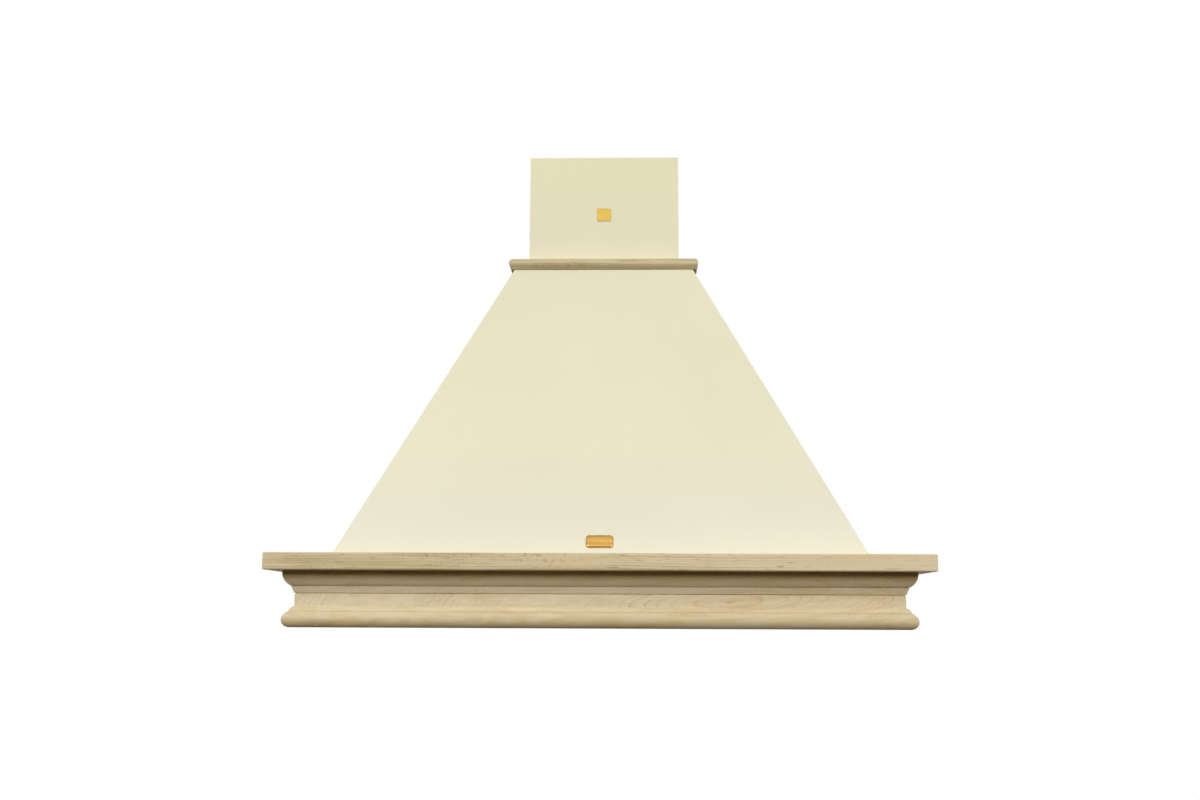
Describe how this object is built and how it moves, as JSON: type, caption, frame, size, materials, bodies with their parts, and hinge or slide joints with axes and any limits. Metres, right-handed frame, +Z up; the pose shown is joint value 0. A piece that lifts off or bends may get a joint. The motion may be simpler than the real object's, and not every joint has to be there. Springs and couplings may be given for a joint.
{
  "type": "range hood",
  "caption": "Chimney range hood: sloping painted canopy on a moulded oak cornice and shelf, oak neck trim, telescopic flue cover, grease filters and a twin inlet blower.",
  "frame": {"origin": "on the wall plane, at mid width, level with the hood's lower edge", "axes": "+X to the right seen from the front, +Y into the wall, +Z up"},
  "size_m": [0.9, 0.5, 0.7542],
  "materials": {
    "oak": "unvarnished light oak",
    "cream_paint": "satin powder coat",
    "brass": "polished",
    "galvanised": "zinc coated",
    "aluminium": "mill finish",
    "satin_steel": "satin",
    "steel": "plain",
    "lens": "frosted",
    "button_plastic": "semi gloss",
    "grey_plastic": "moulded",
    "white_plastic": "moulded",
    "dark_plastic": "moulded"
  },
  "bodies": {
    "hood": {"shelf_front": "oak", "shelf_left": "oak", "shelf_right": "oak", "cornice_front": "oak", "cornice_left": "oak", "cornice_right": "oak", "cornice_screws": "steel", "canopy_front_panel": "cream_paint", "canopy_left_panel": "cream_paint", "canopy_right_panel": "cream_paint", "canopy_plate": "brass", "back_panel": "galvanised", "neck_plate": "galvanised", "neck_trim_front": "oak", "neck_trim_left": "oak", "neck_trim_right": "oak", "flue_cover_lower": "cream_paint", "flue_badge": "brass", "flue_wall_bracket": "galvanised", "underside_panel": "cream_paint", "underside_screws": "steel", "filter_hooks": "galvanised", "lamp_bezel_left": "satin_steel", "lamp_bezel_right": "satin_steel", "lamp_lens_left": "lens", "lamp_lens_right": "lens", "lamp_body_left": "aluminium", "lamp_body_right": "aluminium", "switch_bezel": "grey_plastic", "switch_body": "dark_plastic", "blower_housing_left": "grey_plastic", "blower_housing_right": "grey_plastic", "inlet_ring_left": "dark_plastic", "inlet_ring_right": "dark_plastic", "motor_body": "steel", "motor_bracket": "galvanised", "blower_brackets": "galvanised", "outlet_transition": "grey_plastic", "outlet_collar": "grey_plastic", "damper_rod": "steel", "control_box": "dark_plastic", "control_box_cover": "dark_plastic", "run_capacitor": "white_plastic", "cable_gland": "dark_plastic"},
    "flue_inner": {"flue_cover_upper": "cream_paint"},
    "filter_left": {"filter_frame_left": "aluminium", "filter_mesh_left": "aluminium"},
    "filter_right": {"filter_frame_right": "aluminium", "filter_mesh_right": "aluminium"},
    "latch_left": {"filter_latch_left": "dark_plastic"},
    "latch_right": {"filter_latch_right": "dark_plastic"},
    "button_light": {"button_light": "button_plastic"},
    "button_off": {"button_off": "button_plastic"},
    "button_speed_1": {"button_speed_1": "button_plastic"},
    "button_speed_2": {"button_speed_2": "button_plastic"},
    "button_speed_3": {"button_speed_3": "button_plastic"},
    "rotor": {"impeller": "aluminium", "motor_shaft": "steel"},
    "damper_front": {"damper_flap_front": "dark_plastic"},
    "damper_rear": {"damper_flap_rear": "dark_plastic"}
  },
  "joints": [
    {"name": "flue_rise", "type": "slide", "parent": "hood", "child": "flue_inner", "axis": [0, 0, 1], "range_m": [0, 0.12]},
    {"name": "filter_left_drop", "type": "hinge", "parent": "hood", "child": "filter_left", "pos_m": [-0.17, -0.06, 0.029], "axis": [1, 0, 0], "range_deg": [0, 65]},
    {"name": "filter_right_drop", "type": "hinge", "parent": "hood", "child": "filter_right", "pos_m": [0.17, -0.06, 0.029], "axis": [1, 0, 0], "range_deg": [0, 65]},
    {"name": "latch_left_pull", "type": "slide", "parent": "filter_left", "child": "latch_left", "axis": [0, 1, 0], "range_m": [0, 0.005], "stiffness_N_per_m": 400},
    {"name": "latch_right_pull", "type": "slide", "parent": "filter_right", "child": "latch_right", "axis": [0, 1, 0], "range_m": [0, 0.005], "stiffness_N_per_m": 400},
    {"name": "press_light", "type": "slide", "parent": "hood", "child": "button_light", "axis": [0, 0, 1], "range_m": [0, 0.0025], "stiffness_N_per_m": 600},
    {"name": "press_off", "type": "slide", "parent": "hood", "child": "button_off", "axis": [0, 0, 1], "range_m": [0, 0.0025], "stiffness_N_per_m": 600},
    {"name": "press_speed_1", "type": "slide", "parent": "hood", "child": "button_speed_1", "axis": [0, 0, 1], "range_m": [0, 0.0025], "stiffness_N_per_m": 600},
    {"name": "press_speed_2", "type": "slide", "parent": "hood", "child": "button_speed_2", "axis": [0, 0, 1], "range_m": [0, 0.0025], "stiffness_N_per_m": 600},
    {"name": "press_speed_3", "type": "slide", "parent": "hood", "child": "button_speed_3", "axis": [0, 0, 1], "range_m": [0, 0.0025], "stiffness_N_per_m": 600},
    {"name": "impeller_spin", "type": "hinge", "parent": "hood", "child": "rotor", "pos_m": [0, -0.166, 0.3316], "axis": [1, 0, 0], "continuous": true},
    {"name": "damper_front_open", "type": "hinge", "parent": "hood", "child": "damper_front", "pos_m": [0, -0.11, 0.5904], "axis": [-1, 0, 0], "range_deg": [0, 78]},
    {"name": "damper_rear_open", "type": "hinge", "parent": "hood", "child": "damper_rear", "pos_m": [0, -0.11, 0.5904], "axis": [1, 0, 0], "range_deg": [0, 78]}
  ]
}
